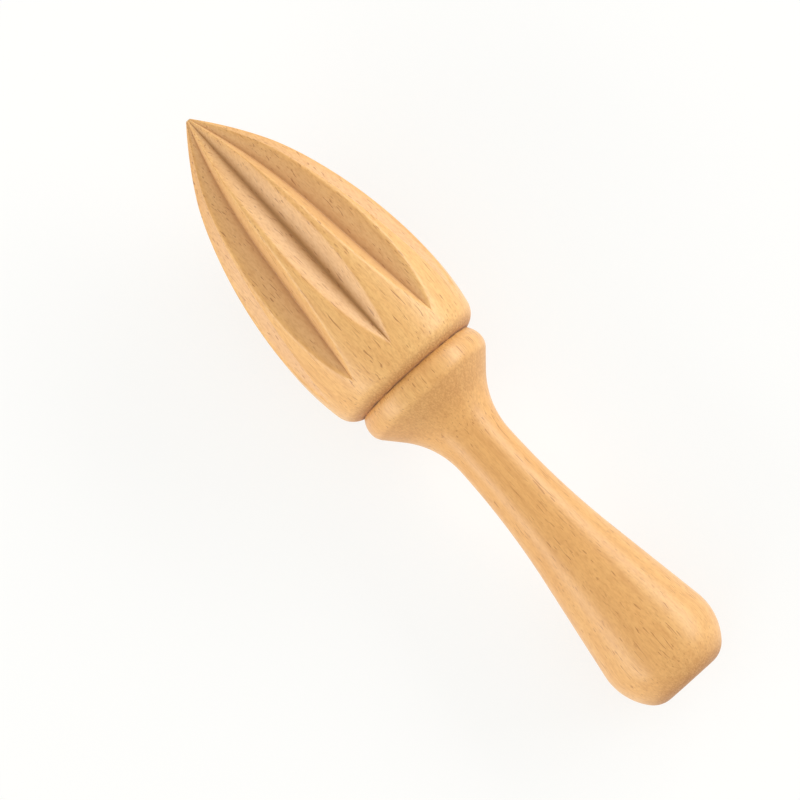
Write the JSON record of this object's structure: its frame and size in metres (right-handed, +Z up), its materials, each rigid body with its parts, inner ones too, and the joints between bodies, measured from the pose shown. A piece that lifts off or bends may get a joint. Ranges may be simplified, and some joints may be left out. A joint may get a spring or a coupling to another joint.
{
  "type": "citrus reamer",
  "caption": "Hand citrus reamer in turned wood: a pointed, fluted head and a waisted handle, joined at a turned groove.",
  "frame": {"origin": "on the worktop, under the middle of the reamer's overall box", "axes": "+Z up from the worktop, +X from the tip towards the butt, +Y across the reamer"},
  "size_m": [0.16, 0.039, 0.0389],
  "materials": {
    "head_wood": "oiled beech, satin",
    "handle_wood": "oiled beech, satin",
    "dowel_wood": "raw beech dowel, matte"
  },
  "bodies": {
    "root": {"reamer_head": "head_wood", "handle": "handle_wood", "joint_dowel": "dowel_wood"}
  },
  "joints": []
}
